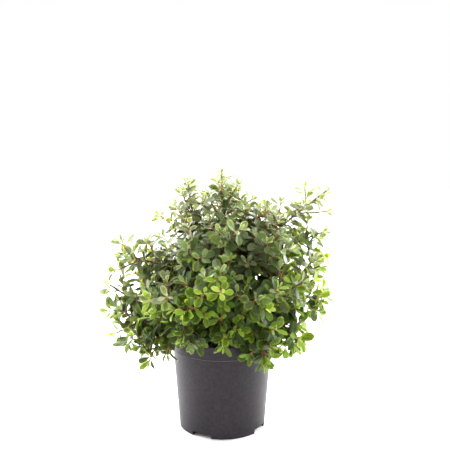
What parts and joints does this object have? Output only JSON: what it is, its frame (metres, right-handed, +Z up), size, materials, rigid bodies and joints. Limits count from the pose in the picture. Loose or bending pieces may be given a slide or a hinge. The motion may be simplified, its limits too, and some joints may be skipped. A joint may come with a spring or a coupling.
{
  "type": "potted escallonia shrub",
  "caption": "Bushy evergreen escallonia shrub with small glossy leaves, standing in a round dark plastic nursery pot filled with compost.",
  "frame": {"origin": "middle of the pot's flat underside, on the surface that the pot stands on", "axes": "+Z up along the pot's axis; +X to the plant's right as pictured; +Y to its back, so its front faces -Y"},
  "size_m": [0.4197, 0.3809, 0.4759],
  "materials": {
    "pot": "satin moulded plastic, very dark grey",
    "compost": "rough, crumbly, moist",
    "bark": "matte, finely fissured",
    "leaves": "glossy upper side, paler matte underside"
  },
  "bodies": {
    "root": {"pot": "pot", "compost": "compost", "trunk": "bark", "bough_back": "bark", "bough_crest": "bark", "bough_front": "bark", "bough_high_front": "bark", "bough_high_left": "bark", "bough_high_right": "bark", "bough_low_back_left": "bark", "bough_low_back_right": "bark", "bough_low_front_left": "bark", "bough_low_front_right": "bark", "bough_low_left": "bark", "bough_low_right": "bark", "leaves_back_1": "leaves", "leaves_back_2": "leaves", "leaves_back_3": "leaves", "leaves_crest_1": "leaves", "leaves_crest_2": "leaves", "leaves_crest_3": "leaves", "leaves_front_1": "leaves", "leaves_front_2": "leaves", "leaves_front_3": "leaves", "leaves_high_front_1": "leaves", "leaves_high_front_2": "leaves", "leaves_high_front_3": "leaves", "leaves_high_left_1": "leaves", "leaves_high_left_2": "leaves", "leaves_high_left_3": "leaves", "leaves_high_right_1": "leaves", "leaves_high_right_2": "leaves", "leaves_high_right_3": "leaves", "leaves_low_back_left_1": "leaves", "leaves_low_back_left_2": "leaves", "leaves_low_back_left_3": "leaves", "leaves_low_back_right_1": "leaves", "leaves_low_back_right_2": "leaves", "leaves_low_back_right_3": "leaves", "leaves_low_front_left_1": "leaves", "leaves_low_front_left_2": "leaves", "leaves_low_front_left_3": "leaves", "leaves_low_front_right_1": "leaves", "leaves_low_front_right_2": "leaves", "leaves_low_front_right_3": "leaves", "leaves_low_left_1": "leaves", "leaves_low_left_2": "leaves", "leaves_low_left_3": "leaves", "leaves_low_right_1": "leaves", "leaves_low_right_2": "leaves", "leaves_low_right_3": "leaves"}
  },
  "joints": []
}
